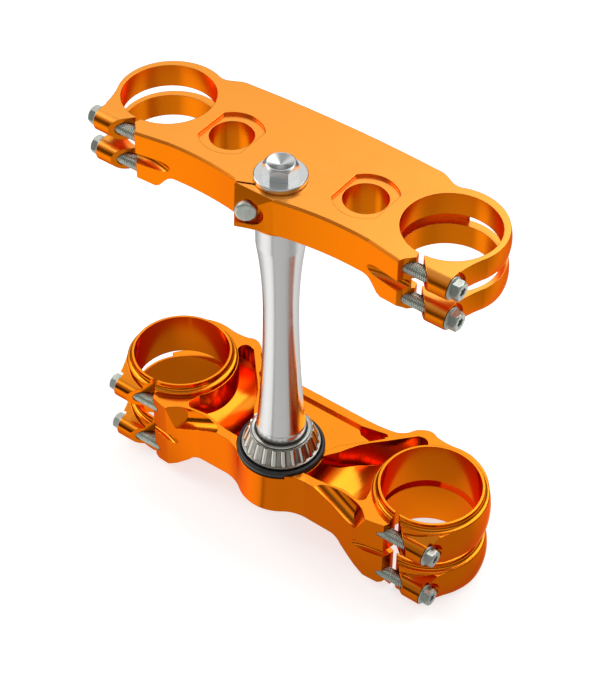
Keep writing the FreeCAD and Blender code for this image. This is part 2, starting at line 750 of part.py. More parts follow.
# Bearing plate: sunk below the rims and round about the dust seal, with a rib ridge on
# each side and the small three-cornered pockets behind the ribs.
seat_r = d.seal_radius + d.seal_gap
pocket(lower, profile(lower, "Plate", "XY_Plane", [
    (0, -seat_r, seat_r),
    (seat_r * cosine(22.7), seat_r * sine(22.7)),
    (28.6, 19.2),
    (34.5, 25.5),
    (38, 29),
    (48, d.lower_back - d.rim_width),
    (0, d.lower_back - d.rim_width),
], (0, 0, top)), d.plate_sink)
pocket(lower, profile(lower, "CornerPocket", "XY_Plane", [
    (29, d.lower_back - 6.5),
    (33, d.lower_back - 10.5),
    (41.5, d.lower_back - 12),
    (48.5, d.lower_back - 4),
    (47, d.lower_back - 2.5),
], (0, 0, top)), d.corner_pocket_depth)
pocket(lower, circles(lower, "LowerStemBore", "XY_Plane", [
    (0, 0, d.stem_lower / 2),
], (0, 0, -1)), whole, reverse=True)
place(lower, 0, 0, -d.seat_height)

# Side pocket with a round floor, and the scoop in the front edge.  The pocket is its
# plan outline as far down as the round floor, from the round land under the dust seal to
# the wall of the ring.  The left half mirrors the right half.
wall_r = lower_r + d.trough_wall
land_r = d.seal_radius + d.seal_gap / 2
outline = new_body("PocketPlan")
pad(outline, profile(outline, "PocketOutline", "XY_Plane", [
    (land_r * cosine(14), land_r * sine(14), -land_r),
    (land_r * cosine(24), -land_r * sine(24)),
    (34, low_y + 2.9),
    (44, low_y + 4.4),
    (51.5, low_y + 5.9),
    (fork_x - 31.5, low_y + 4.4, 4.8),
    (fork_x - 27.7, low_y + 8),
    (fork_x - 29.5, d.fork_offset - root(wall_r * wall_r - 870.25), -wall_r),
    (fork_x - 24.5, d.fork_offset + root(wall_r * wall_r - 600.25)),
    (fork_x - 23, d.fork_offset + 27, 4.8),
    (fork_x - 28.5, d.fork_offset + 33.8),
    (fork_x - 31.3, d.fork_offset + 33),
    (fork_x - 43, d.fork_offset + 19.9),
    (fork_x - 51, d.fork_offset + 11.3),
    (38.3, 27),
    (35.1, 21.3),
    (32.2, 15.3),
], (0, 0, d.lower_slot_high)), collar - d.lower_slot_high)
place(outline, 0, 0, -d.seat_height)
trough = doc.addObject("Part::Cylinder", "Trough")
bind(trough, "Radius", d.trough_radius)
bind(trough, "Height", 2 * d.fork_spacing)
trough.Placement = FreeCAD.Placement(V(0, 0, 0), FreeCAD.Rotation(V(1, 0, 0), -90))
place(trough, d.trough_x, -d.fork_spacing, d.plate_sink + d.trough_rise)
side_pocket = doc.addObject("Part::Common", "SidePocket")
side_pocket.Base = outline
side_pocket.Tool = trough
groove = doc.addObject("Part::Cylinder", "ScoopRound")
bind(groove, "Radius", d.scoop_radius)
bind(groove, "Height", 70)
fall = tangent(d.scoop_fall)
groove.Placement = FreeCAD.Placement(V(0, 0, 0), FreeCAD.Rotation(V(0, 0, 1), V(1, -0.107, -fall.value)))
place(groove, fork_x - 74, low_y - 0.3, d.plate_sink + 2.5 + 30 * fall)
stop = doc.addObject("Part::Box", "ScoopStop")
for side, length in (("Length", 90), ("Width", 80), ("Height", 80)):
    bind(stop, side, length)
stop.Placement = FreeCAD.Placement(V(0, 0, 0), FreeCAD.Rotation(V(1, 0, 0), V(-0.612, -0.719, 0.329)))
corner = stop.Placement.Rotation.multVec(V(0, -40, -40))
place(stop, fork_x - 24.9 + corner.x, low_y + 0.1 + corner.y, d.plate_sink + corner.z)
scoop = doc.addObject("Part::Common", "Scoop")
scoop.Base = groove
scoop.Tool = stop
tools = doc.addObject("Part::MultiFuse", "PocketTools")
tools.Shapes = [side_pocket, scoop]
lower_half = doc.addObject("Part::Cut", "LowerHalf")
lower_half.Base = lower
lower_half.Tool = tools
lower_other = doc.addObject("Part::Mirroring", "LowerOther")
lower_other.Source = lower_half
lower_other.Base = V(0, 0, 0)
lower_other.Normal = V(1, 0, 0)
lower_clamp = doc.addObject("Part::Fuse", "LowerClamp")
lower_clamp.Base = lower_half
lower_clamp.Tool = lower_other
lower_clamp.Refine = True
lower_clamp.Label = "lower_clamp"

# Steering stem: turned all over, straight in the lower bearing, waisted between the
# clamps and straight again for the upper bearing and the upper clamp.
pieces = [upper, lower_clamp]
stem = new_body("steering_stem")
low_r = d.stem_lower / 2
neck_r = d.stem_neck / 2
high_r = d.stem_upper / 2
grip_r = d.stem_clamped / 2
hollow_r = d.stem_hollow / 2
tap_r = d.stem_tap / 2
stem_foot = d.lower_web_bottom - d.seat_height
stem_top = d.upper_level - 0.4
under = d.upper_level - d.upper_web - 2
flare_r = low_r - 0.4
low_drop = flare_r - neck_r
low_run = d.neck_level - d.flare_level
high_drop = high_r - 0.1 - neck_r
high_run = d.finish_level - d.neck_level
turned(stem, "Revolution", profile(stem, "StemProfile", "XZ_Plane", [
    (hollow_r, stem_foot),
    (low_r - 1, stem_foot),
    (low_r, stem_foot + 1),
    (low_r, d.flare_level - 1),
    (flare_r, d.flare_level, -(low_run * low_run + low_drop * low_drop) / (2 * low_drop)),
    (neck_r, d.neck_level, -(high_run * high_run + high_drop * high_drop) / (2 * high_drop)),
    (high_r - 0.1, d.finish_level),
    (high_r, d.finish_level + 1),
    (high_r, under),
    (grip_r, under),
    (grip_r, stem_top - 1),
    (grip_r - 1, stem_top),
    (tap_r, stem_top),
    (tap_r, stem_top - d.tap_depth),
    (hollow_r, stem_top - d.tap_depth - 2),
]))
pieces.append(stem)

# Stem bolt: flange and hexagon with a dished top.
bolt = new_body("stem_bolt")
bolt_f = d.bolt_flange / 2
turned(bolt, "Revolution", profile(bolt, "BoltProfile", "XZ_Plane", [
    (0, -d.bolt_length),
    (tap_r - 1.2, -d.bolt_length),
    (tap_r, -d.bolt_length + 1.2),
    (tap_r, 0),
    (bolt_f - 0.6, 0),
    (bolt_f, 0.6),
    (bolt_f, d.bolt_flange_height - 0.5),
    (bolt_f - 0.5, d.bolt_flange_height),
    (0, d.bolt_flange_height),
]))
hex_r = d.bolt_flats / root(3)
pad(bolt, profile(bolt, "BoltHex", "XY_Plane", [
    (hex_r * math.cos(math.radians(30 + 60 * k)), hex_r * math.sin(math.radians(30 + 60 * k)))
    for k in range(6)
], (0, 0, d.bolt_flange_height)), d.bolt_head - d.bolt_flange_height)
turned(bolt, "Groove", profile(bolt, "BoltBevel", "XZ_Plane", [
    (d.bolt_dish + 0.5, d.bolt_head),
    (hex_r + 1, d.bolt_head - 2.6),
    (hex_r + 1, d.bolt_head + 1),
    (d.bolt_dish + 0.5, d.bolt_head + 1),
]))
turned(bolt, "Groove", profile(bolt, "BoltDish", "XZ_Plane", [
    (0, d.bolt_head - d.bolt_dish_depth),
    (d.bolt_dish, d.bolt_head),
    (d.bolt_dish, d.bolt_head + 1),
    (0, d.bolt_head + 1),
]))
place(bolt, 0, 0, d.upper_level)
pieces.append(bolt)


def flanged_screw(label, length):
    """Hexagon flange screw, its seat at zero and its head towards +Z."""
    body = new_body(label)
    turned(body, "Revolution", profile(body, label + "_shank", "XZ_Plane", [
        (0, -length),
        (screw_r - 0.8, -length),
        (screw_r, -length + 0.8),
        (screw_r, 0),
        (d.flange_radius - 0.3, 0),
        (d.flange_radius, 0.4),
        (d.flange_radius - 0.2, 0.9),
        (d.head_flats / 2, d.flange_height),
        (0, d.flange_height),
    ]))
    corner = d.head_flats / root(3)
    pad(body, profile(body, label + "_hex", "XY_Plane", [
        (corner * math.cos(math.radians(60 * k)), corner * math.sin(math.radians(60 * k)))
        for k in range(6)
    ], (0, 0, d.flange_height - 0.5)), d.head_height - d.flange_height + 0.5)
    turned(body, "Groove", profile(body, label + "_bevel", "XZ_Plane", [
        (d.head_flats / 2 - 0.3, d.head_height),
        (corner + 1, d.head_height - 1.2),
        (corner + 1, d.head_height + 1),
        (d.head_flats / 2 - 0.3, d.head_height + 1),
    ]))
    return body


# Four pinch screws at each clamp, two on each side, heads outboard.
for clamp, level, x, y, heights in (
    ("upper", d.upper_level, upper_seat, screw_y, (upper_high, upper_low)),
    ("lower", -d.seat_height, lower_seat, low_y, (lower_high, d.lower_screw_low)),
):
    for side, word in ((1, "right"), (-1, "left")):
        for height, row in zip(heights, ("high", "low")):
            label = "%s_pinch_screw_%s_%s" % (clamp, word, row)
            screw = flanged_screw(label, d.screw_length)
            pocket(screw, circles(screw, label + "_recess", "XY_Plane", [
                (0, 0, d.head_recess),
            ], (0, 0, d.head_height)), d.head_recess_depth)
            screw.Placement = FreeCAD.Placement(V(0, 0, 0), FreeCAD.Rotation(V(0, 1, 0), 90 * side))
            place(screw, side * x, y, level + height)
            pieces.append(screw)

# The stem pinch screw has a plain round head.
stem_screw = new_body("stem_pinch_screw")
turned(stem_screw, "Revolution", profile(stem_screw, "PinchProfile", "XZ_Plane", [
    (0, -d.pinch_length),
    (screw_r - 0.8, -d.pinch_length),
    (screw_r, -d.pinch_length + 0.8),
    (screw_r, 0),
    (d.pinch_head / 2, 0),
    (d.pinch_head / 2, d.pinch_head_height - 0.7),
    (d.pinch_head / 2 - 0.7, d.pinch_head_height),
    (0, d.pinch_head_height),
]))
stem_screw.Placement = FreeCAD.Placement(
    V(0, 0, 0),
    FreeCAD.Rotation(V(0, 0, 1), d.pinch_angle.value) * FreeCAD.Rotation(V(1, 0, 0), 90),
)
seat_x, seat_y = lip_point(-pinch_reach, d.pinch_seat)
place(stem_screw, seat_x, seat_y, d.upper_level - d.pinch_depth)
pieces.append(stem_screw)

# Lower bearing: inner ring, tapered rollers in their cage, and the dust seal under them.
# All cones run to one point on the steering axis.
outer_slope = d.roller_tilt + d.roller_taper
inner_slope = d.roller_tilt - d.roller_taper
half_long = d.roller_length / 2
race_mid = d.roller_circle - (d.roller_radius + d.race_play) / cosine(d.roller_tilt)
race_top = d.roller_level + half_long * cosine(d.roller_tilt) + 0.9
race_low = d.roller_level - half_long * cosine(d.roller_tilt) - 1.1
race = new_body("bearing_inner_ring")
turned(race, "Revolution", profile(race, "RaceProfile", "XZ_Plane", [
    (low_r, 0),
    (d.race_large - 0.5, 0),
    (d.race_large, 0.5),
    (d.race_large, race_low),
    (race_mid + (d.roller_level - race_low) * tangent(inner_slope), race_low),
    (race_mid - (race_top - d.roller_level) * tangent(inner_slope), race_top),
    (d.race_small, race_top),
    (d.race_small, d.race_height - 0.4),
    (d.race_small - 0.4, d.race_height),
    (low_r, d.race_height),
]))
pieces.append(race)

cage_low = race_low + 0.5
cage_top = race_top - 0.25
cage_mid = d.roller_circle + d.roller_radius / cosine(d.roller_tilt) - d.cage_sink
cage = new_body("bearing_cage")


def cage_r(level, inset):
    return cage_mid - (level - d.roller_level) * tangent(outer_slope) - inset


turned(cage, "Revolution", profile(cage, "CageProfile", "XZ_Plane", [
    (cage_r(cage_low, 0) - 0.1, cage_low + 0.3),
    (cage_r(cage_low, 0) + 0.9, cage_low),
    (cage_r(cage_low, 0) + 0.9, cage_low + 0.9),
    (cage_r(cage_low + 1.4, 0), cage_low + 1.4),
    (cage_r(cage_top - 0.3, 0), cage_top - 0.3),
    (cage_r(cage_top, 0) - 0.3, cage_top),
    (cage_r(cage_top, d.cage_wall), cage_top),
    (cage_r(cage_low + 1.4, d.cage_wall), cage_low + 1.4),
]))
spread = d.roller_length / 2 * tangent(d.roller_taper)
window = cage.newObject("PartDesign::SubtractiveCone", "CageWindow")
window.AttachmentSupport = [(plane(cage, "XY_Plane"), "")]
window.MapMode = "FlatFace"
window.AttachmentOffset = FreeCAD.Placement(
    V(0, 0, 0), FreeCAD.Rotation(V(0, 1, 0), -d.roller_tilt.value))
play = d.cage_play
start_x = d.roller_circle + (half_long + play) * sine(d.roller_tilt)
start_z = d.roller_level - (half_long + play) * cosine(d.roller_tilt)
bind(window, "AttachmentOffset.Rotation.Angle", -d.roller_tilt)
bind(window, "AttachmentOffset.Base.x", start_x)
bind(window, "AttachmentOffset.Base.z", start_z)
bind(window, "Radius1", d.roller_radius + spread + play)
bind(window, "Radius2", d.roller_radius - spread + play)
bind(window, "Height", d.roller_length + 2 * play)
doc.recompute()
ring = cage.newObject("PartDesign::PolarPattern", "CageWindows")
ring.Originals = [window]
ring.Axis = (plane(cage, "Z_Axis"), [""])
ring.Angle = 360.0
bind(ring, "Occurrences", d.roller_count)
cage.Tip = ring
pieces.append(cage)

count = int(d.roller_count.value)
foot_x = d.roller_circle + half_long * sine(d.roller_tilt)
foot_z = d.roller_level - half_long * cosine(d.roller_tilt)
for number in range(count):
    turn = 360.0 * number / count
    label = "bearing_roller_%02d" % (number + 1)
    roller = doc.addObject("Part::Cone", label)
    roller.Label = label
    bind(roller, "Radius1", d.roller_radius + spread)
    bind(roller, "Radius2", d.roller_radius - spread)
    bind(roller, "Height", d.roller_length)
    roller.Placement = FreeCAD.Placement(
        V(0, 0, 0),
        FreeCAD.Rotation(V(0, 0, 1), turn) * FreeCAD.Rotation(V(0, 1, 0), -d.roller_tilt.value),
    )
    place(roller, foot_x * math.cos(math.radians(turn)), foot_x * math.sin(math.radians(turn)), foot_z)
    pieces.append(roller)

seal = new_body("dust_seal")
seal_in = d.race_large
turned(seal, "Revolution", profile(seal, "SealProfile", "XZ_Plane", [
    (seal_in, 0),
    (d.seal_radius - 0.8, 0),
    (d.seal_radius, 1.0),
    (d.seal_radius, d.seal_height - 1.6, 1.6),
    (d.seal_radius - 1.6, d.seal_height),
    (seal_in + 1.8, d.seal_inner_height),
    (seal_in, d.seal_inner_height),
]))
pieces.append(seal)

# Nothing is written unless every object is sound and every cut has removed metal.
doc.recompute()
for thing in doc.Objects:
    if "Invalid" in thing.State or "Error" in thing.State:
        raise RuntimeError("%s: %s" % (thing.Name, thing.getStatusString()))
for body in [thing for thing in doc.Objects if thing.TypeId == "PartDesign::Body"]:
    before = 0.0
    for feature in body.Group:
        if not feature.isDerivedFrom("PartDesign::Feature"):
            continue
        now = feature.Shape.Volume
        cuts = feature.TypeId.split("::")[1] in ("Pocket", "Groove", "SubtractiveCone")
        if cuts and now > before - 0.01:
            raise RuntimeError(feature.Name + " removes nothing")
        before = now
for piece in pieces:
    shape = piece.Shape
    if shape.isNull() or not shape.isValid() or len(shape.Solids) != 1:
        raise RuntimeError(piece.Label + " is not one sound solid")
os.makedirs("parts", exist_ok=True)
for piece in pieces:
    piece.Shape.exportStep("parts/%s.step" % piece.Label)
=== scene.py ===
"""Looks of a motorcycle triple clamp: two orange anodised clamps on a bright steering stem,
eight flanged pinch screws, the stem's bolt and pinch screw, and the lower roller bearing."""

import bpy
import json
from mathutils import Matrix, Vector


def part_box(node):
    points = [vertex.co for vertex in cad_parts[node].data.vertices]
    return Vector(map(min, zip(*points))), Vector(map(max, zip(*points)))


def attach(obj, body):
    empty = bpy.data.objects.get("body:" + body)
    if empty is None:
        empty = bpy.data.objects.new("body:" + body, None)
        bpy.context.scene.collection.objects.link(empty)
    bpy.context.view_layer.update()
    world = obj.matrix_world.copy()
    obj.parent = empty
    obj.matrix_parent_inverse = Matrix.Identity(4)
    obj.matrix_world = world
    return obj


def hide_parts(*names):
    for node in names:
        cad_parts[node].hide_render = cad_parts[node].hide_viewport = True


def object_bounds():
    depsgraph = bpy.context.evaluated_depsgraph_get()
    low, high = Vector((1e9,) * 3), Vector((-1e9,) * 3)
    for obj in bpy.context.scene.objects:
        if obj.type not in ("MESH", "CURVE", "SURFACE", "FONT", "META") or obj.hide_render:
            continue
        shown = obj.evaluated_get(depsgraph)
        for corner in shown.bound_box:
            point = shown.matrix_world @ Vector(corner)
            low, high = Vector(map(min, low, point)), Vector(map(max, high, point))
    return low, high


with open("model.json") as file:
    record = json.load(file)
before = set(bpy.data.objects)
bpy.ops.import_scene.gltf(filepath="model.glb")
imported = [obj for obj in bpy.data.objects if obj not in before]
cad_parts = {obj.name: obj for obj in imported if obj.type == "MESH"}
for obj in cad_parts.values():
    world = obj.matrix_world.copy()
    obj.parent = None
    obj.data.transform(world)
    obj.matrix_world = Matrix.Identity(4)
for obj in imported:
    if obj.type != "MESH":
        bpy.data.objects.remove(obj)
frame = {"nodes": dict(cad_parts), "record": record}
cad_box = [list(corner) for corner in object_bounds()]

import json
import math

import bmesh
import bpy
from mathutils import Matrix, Vector

MM = 0.001
IMAGE_HEIGHT = 682
WHITE = (1, 1, 1, 1)
SAME_PLACE = 1e-6
SAME_POLE = 1e-7
SMOOTHER, ROUGHER = 0.85, 1.15
SCREW_STEPS, BEARING_STEPS = 72, 144
THREAD_RADIUS = 4 * MM
THREAD_PITCH = 1.25 * MM
THREAD_DEPTH = 0.62 * MM
nodes = frame["nodes"]


def add_camera():
    """The photograph's view, solved from the rims of the four fork bores."""
    azimuth = math.radians(36.278)
    elevation = math.radians(43.932)
    roll = math.radians(0.447)
    distance = 1055.58 * MM
    target = Vector((33.09, -26.79, 127.7)) * MM
    focal_pixels = 1946.7
    level = Vector((math.cos(azimuth), math.sin(azimuth), 0))
    away = Vector((math.sin(azimuth), -math.cos(azimuth), 0))
    back = away * math.cos(elevation) + Vector((0, 0, math.sin(elevation)))
    upright = back.cross(level)
    right = level * math.cos(roll) + upright * math.sin(roll)
    up = upright * math.cos(roll) - level * math.sin(roll)
    data = bpy.data.cameras.new("camera")
    data.sensor_width = 36
    data.lens = focal_pixels / IMAGE_HEIGHT * data.sensor_width
    data.clip_end = 20
    camera = bpy.data.objects.new("camera", data)
    bpy.context.scene.collection.objects.link(camera)
    turn = Matrix((right, up, back)).transposed().to_4x4()
    camera.matrix_world = Matrix.Translation(target + back * distance) @ turn
    bpy.context.scene.camera = camera


class Nodes:
    """Short ways to add and link nodes in one node tree."""

    def __init__(self, tree):
        self.tree = tree

    def add(self, kind, **values):
        node = self.tree.nodes.new(kind)
        for name, value in values.items():
            setattr(node, name, value)
        return node

    def feed(self, value, socket):
        """Link a socket, or set a plain value."""
        if isinstance(value, bpy.types.NodeSocket):
            self.tree.links.new(value, socket)
        else:
            socket.default_value = value

    def math(self, operation, *values):
        node = self.add("ShaderNodeMath", operation=operation)
        for value, socket in zip(values, node.inputs):
            self.feed(value, socket)
        return node.outputs[0]

    def coordinates(self, kind):
        return self.add("ShaderNodeTexCoord").outputs[kind]

    def split(self, vector):
        node = self.add("ShaderNodeSeparateXYZ")
        self.feed(vector, node.inputs[0])
        return node.outputs

    def noise(self, vector, scale, detail):
        node = self.add("ShaderNodeTexNoise")
        self.feed(vector, node.inputs["Vector"])
        self.feed(scale, node.inputs["Scale"])
        self.feed(detail, node.inputs["Detail"])
        return node.outputs["Fac"]

    def mapped(self, vector, scale):
        node = self.add("ShaderNodeMapping")
        self.feed(vector, node.inputs["Vector"])
        self.feed(scale, node.inputs["Scale"])
        return node.outputs["Vector"]

    def ramp(self, value, stops):
        """A colour ramp from (position, grey or colour) stops."""
        node = self.add("ShaderNodeValToRGB")
        ramp = node.color_ramp
        while len(ramp.elements) < len(stops):
            ramp.elements.new(0.5)
        for element, (position, colour) in zip(ramp.elements, stops):
            element.position = position
            rgb = tuple(colour) if isinstance(colour, tuple) else (colour,) * 3
            element.color = rgb + (1,)
        self.feed(value, node.inputs["Fac"])
        return node.outputs["Color"]

    def mix(self, factor, first, second, blend_type="MIX"):
        node = self.add("ShaderNodeMix", data_type="RGBA", blend_type=blend_type)
        self.feed(factor, node.inputs["Factor"])
        self.feed(first, node.inputs["A"])
        self.feed(second, node.inputs["B"])
        return node.outputs["Result"]

    def between(self, value, low, high):
        """Spread a value of 0 to 1 between two others."""
        node = self.add("ShaderNodeMapRange")
        self.feed(value, node.inputs["Value"])
        self.feed(low, node.inputs["To Min"])
        self.feed(high, node.inputs["To Max"])
        return node.outputs["Result"]

    def rise(self, value, start, end):
        """0 below the start, 1 above the end, and smooth between them."""
        node = self.add("ShaderNodeMapRange", interpolation_type="SMOOTHSTEP")
        self.feed(value, node.inputs["Value"])
        self.feed(start, node.inputs["From Min"])
        self.feed(end, node.inputs["From Max"])
        return node.outputs["Result"]


def build_dome():
    """White to the camera. The part is lit by walls that are bright high up and dim low down,
    and dimmer on the side in front of the part."""
    by_height = [
        (0.0, 0.8), (0.49, 0.7), (0.51, 0.12), (0.66, 0.14),
        (0.78, 1.15), (0.87, 1.25), (0.93, 0.6), (1.0, 0.45),
    ]
    back_to_front = [(0.0, 1.0), (0.5, 1.0), (0.61, 0.3), (0.72, 0.35), (0.85, 0.8), (1.0, 0.6)]
    front_x, front_y = 0.592, -0.806
    world = bpy.data.worlds.new("studio")
    world.use_nodes = True
    bpy.context.scene.world = world
    n = Nodes(world.node_tree)
    background = world.node_tree.nodes["Background"]
    way = n.split(n.coordinates("Generated"))
    walls = n.ramp(n.math("MULTIPLY_ADD", way["Z"], 0.5, 0.5), by_height)
    ahead = n.math("MULTIPLY_ADD", way["X"], front_x, n.math("MULTIPLY", way["Y"], front_y))
    dimmed = n.ramp(n.math("MULTIPLY_ADD", ahead, 0.5, 0.5), back_to_front)
    room = n.mix(1.0, walls, dimmed, "MULTIPLY")
    seen = n.add("ShaderNodeLightPath").outputs["Is Camera Ray"]
    n.feed(n.mix(seen, room, WHITE), background.inputs["Color"])
    n.feed(1.0, background.inputs["Strength"])


def build_floor():
    """White paper that keeps the part's shadow. Polished metal sees it as paler and darker
    cards, given here once round the part, from -x through -y."""
    radius = 1.5
    paper = (0.62, 0.62, 0.61, 1)
    glow = 0.66
    cards_round_part = [
        (0.0, 0.65), (0.04, 0.78), (0.085, 1.15), (0.15, 1.3), (0.205, 1.15), (0.23, 0.95),
        (0.243, 0.38), (0.262, 0.68), (0.41, 0.64), (0.445, 0.58), (0.475, 0.5), (0.53, 0.55),
        (0.555, 0.75), (0.59, 1.0), (0.66, 0.9), (0.72, 0.75), (0.8, 0.5), (0.86, 0.4), (0.96, 0.45),
        (1.0, 0.65),
    ]
    mesh = bpy.data.meshes.new("floor")
    shape = bmesh.new()
    bmesh.ops.create_circle(shape, cap_ends=True, segments=96, radius=radius)
    bmesh.ops.translate(shape, vec=(0, 0, cad_box[0][2]), verts=shape.verts)
    shape.to_mesh(mesh)
    shape.free()
    floor = bpy.data.objects.new("floor", mesh)
    bpy.context.scene.collection.objects.link(floor)
    material = bpy.data.materials.new("studio_floor")
    material.use_nodes = True
    n = Nodes(material.node_tree)
    shader = material.node_tree.nodes["Principled BSDF"]
    n.feed(paper, shader.inputs["Base Color"])
    n.feed(0.9, shader.inputs["Roughness"])
    n.feed(0.0, shader.inputs["Specular IOR Level"])
    path = n.add("ShaderNodeLightPath").outputs
    seen = n.math("ADD", path["Is Camera Ray"], path["Is Transmission Ray"])
    n.feed(WHITE, shader.inputs["Emission Color"])
    n.feed(n.math("MULTIPLY", seen, glow), shader.inputs["Emission Strength"])
    place = n.split(n.coordinates("Object"))
    turn = n.math("ARCTAN2", place["Y"], place["X"])
    around = n.math("MULTIPLY_ADD", turn, 0.5 / math.pi, 0.5)
    card = n.add("ShaderNodeEmission")
    n.feed(n.ramp(around, cards_round_part), card.inputs["Color"])
    surface = n.add("ShaderNodeMixShader")
    n.feed(path["Is Glossy Ray"], surface.inputs["Fac"])
    n.feed(shader.outputs[0], surface.inputs[1])
    n.feed(card.outputs[0], surface.inputs[2])
    n.feed(surface.outputs[0], material.node_tree.nodes["Material Output"].inputs["Surface"])
    mesh.materials.append(material)


def add_softbox(name, place, size, power):
    """A soft lamp that faces the middle of the stem."""
    stem_middle = Vector((0, 0, 0.08))
    data = bpy.data.lights.new(name, "AREA")
    data.shape = "RECTANGLE"
    data.size, data.size_y = size
    data.energy = power
    lamp = bpy.data.objects.new(name, data)
    bpy.context.scene.collection.objects.link(lamp)
    lamp.location = place
    lamp.rotation_euler = (Vector(place) - stem_middle).to_track_quat("Z", "Y").to_euler()


def build_worked_surface():
    """Fine grain, slow patches and softened edges, shared by every metal and the rubber."""
    group = bpy.data.node_groups.new("worked_surface", "ShaderNodeTree")
    for label, value in (
        ("Patch Scale", 60.0), ("Rough Low", 0.2), ("Rough High", 0.3),
        ("Grain Scale", 2000.0), ("Grain Strength", 0.3), ("Grain Depth", 0.00004), ("Edge Radius", 0.0004),
    ):
        socket = group.interface.new_socket(label, in_out="INPUT", socket_type="NodeSocketFloat")
        socket.default_value = value
    stretch = group.interface.new_socket("Grain Stretch", in_out="INPUT", socket_type="NodeSocketVector")
    stretch.default_value = (1, 1, 1)
    for label, kind in (("Patch", "Float"), ("Grain", "Float"), ("Roughness", "Float"), ("Normal", "Vector")):
        group.interface.new_socket(label, in_out="OUTPUT", socket_type="NodeSocket" + kind)
    n = Nodes(group)
    given = n.add("NodeGroupInput").outputs
    result = n.add("NodeGroupOutput").inputs
    place = n.coordinates("Object")
    patch = n.noise(place, given["Patch Scale"], 3)
    grain = n.noise(n.mapped(place, given["Grain Stretch"]), given["Grain Scale"], 2)
    bevel = n.add("ShaderNodeBevel", samples=6)
    n.feed(given["Edge Radius"], bevel.inputs["Radius"])
    bump = n.add("ShaderNodeBump")
    n.feed(given["Grain Strength"], bump.inputs["Strength"])
    n.feed(given["Grain Depth"], bump.inputs["Distance"])
    n.feed(grain, bump.inputs["Height"])
    n.feed(bevel.outputs["Normal"], bump.inputs["Normal"])
    n.feed(patch, result["Patch"])
    n.feed(grain, result["Grain"])
    n.feed(n.between(patch, given["Rough Low"], given["Rough High"]), result["Roughness"])
    n.feed(bump.outputs["Normal"], result["Normal"])
    return group


def new_finish(name, metallic=1.0, **settings):
    """A material with the worked surface in it. Returns the material, nodes, shader and group."""
    material = bpy.data.materials.new(name)
    material.use_nodes = True
    n = Nodes(material.node_tree)
    shader = material.node_tree.nodes["Principled BSDF"]
    work = n.add("ShaderNodeGroup", node_tree=worked_surface)
    for label, value in settings.items():
        n.feed(value, work.inputs[label.replace("_", " ").title()])
    n.feed(work.outputs["Roughness"], shader.inputs["Roughness"])
    n.feed(work.outputs["Normal"], shader.inputs["Normal"])
    n.feed(metallic, shader.inputs["Metallic"])
    return material, n, shader, work


def anodised(name, flank, top, rough, grain):
    """Dyed aluminium: a tinted metal under a thin clear layer, with a painted sheen that makes faces that lie
    level paler.
    """
    edge_tint = (1.0, 0.4, 0.1, 1)
    material, n, shader, work = new_finish(
        name, patch_scale=45, rough_low=rough * SMOOTHER, rough_high=rough * ROUGHER,
        grain_scale=2600, grain_strength=grain, edge_radius=0.0005,
    )
    facing = n.split(n.coordinates("Normal"))
    # Painted sheen: faces that lie level take the paler top colour, while the flanks keep the dye's own
    # colour.
    dye_with_painted_sheen = n.ramp(facing["Z"], [(0.2, flank), (0.6, flank), (0.97, top)])
    cloud = n.ramp(work.outputs["Patch"], [(0.0, 0.9), (1.0, 1.0)])
    n.feed(n.mix(1.0, dye_with_painted_sheen, cloud, "MULTIPLY"), shader.inputs["Base Color"])
    n.feed(edge_tint, shader.inputs["Specular Tint"])
    n.feed(0.03, shader.inputs["Coat Weight"])
    n.feed(rough * 0.7, shader.inputs["Coat Roughness"])
    return material


def turned(name, colour, rough, rings, grain, foot=None):
    """Bare metal with the fine rings of a lathe, darkened below the foot level by painted shade."""
    painted_foot_shade = (0.3, 0.29, 0.27, 1)
    foot_blend = 1.2 * MM
    material, n, shader, work = new_finish(
        name, patch_scale=60, rough_low=rough * SMOOTHER, rough_high=rough * ROUGHER,
        grain_scale=1, grain_stretch=(8, 8, rings), grain_strength=grain, grain_depth=0.00005,
        edge_radius=0.0003,
    )
    groove = tuple(c * 0.93 for c in colour)
    shade = n.ramp(work.outputs["Grain"], [(0.3, groove), (0.7, colour)])
    if foot is not None:
        height = n.split(n.coordinates("Object"))["Z"]
        # Painted shade: below the foot level, where the stem meets the bearing, the metal goes dark.
        shade = n.mix(n.rise(height, foot, foot + foot_blend), painted_foot_shade, shade)
    n.feed(shade, shader.inputs["Base Color"])
    return material


def plated(name, colour, rough, mottle, darkest):
    """Zinc plate, or hard steel: dull and darker in patches, down to the darkest share."""
    material, n, shader, work = new_finish(
        name, patch_scale=mottle, rough_low=rough * ROUGHER, rough_high=rough * SMOOTHER,
        grain_scale=1500, grain_strength=0.25, grain_depth=0.00005, edge_radius=0.00025,
    )
    dull = tuple(c * darkest for c in colour)
    n.feed(n.ramp(work.outputs["Patch"], [(0.3, dull), (0.7, colour)]), shader.inputs["Base Color"])
    return material


def moulded_rubber(name):
    """Black rubber with a fine grain and slightly uneven gloss."""
    material, n, shader, work = new_finish(
        name, metallic=0.0, patch_scale=400, rough_low=0.36, rough_high=0.52,
        grain_scale=1800, grain_strength=0.2, edge_radius=0.0003,
    )
    n.feed(n.ramp(work.outputs["Patch"], [(0.3, 0.01), (0.7, 0.026)]), shader.inputs["Base Color"])
    return material


def new_piece(name, shape, slot, rides_on, replaced=None):
    """Make the finished shape an object with its material, body and the node it stands for."""
    bmesh.ops.recalc_face_normals(shape, faces=shape.faces)
    mesh = bpy.data.meshes.new(name)
    shape.to_mesh(mesh)
    shape.free()
    mesh.shade_smooth()
    mesh.set_sharp_from_angle(angle=math.radians(28))
    piece = bpy.data.objects.new(name, mesh)
    bpy.context.scene.collection.objects.link(piece)
    mesh.materials.append(finish[slot])
    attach(piece, rides_on)
    if replaced:
        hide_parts(replaced)


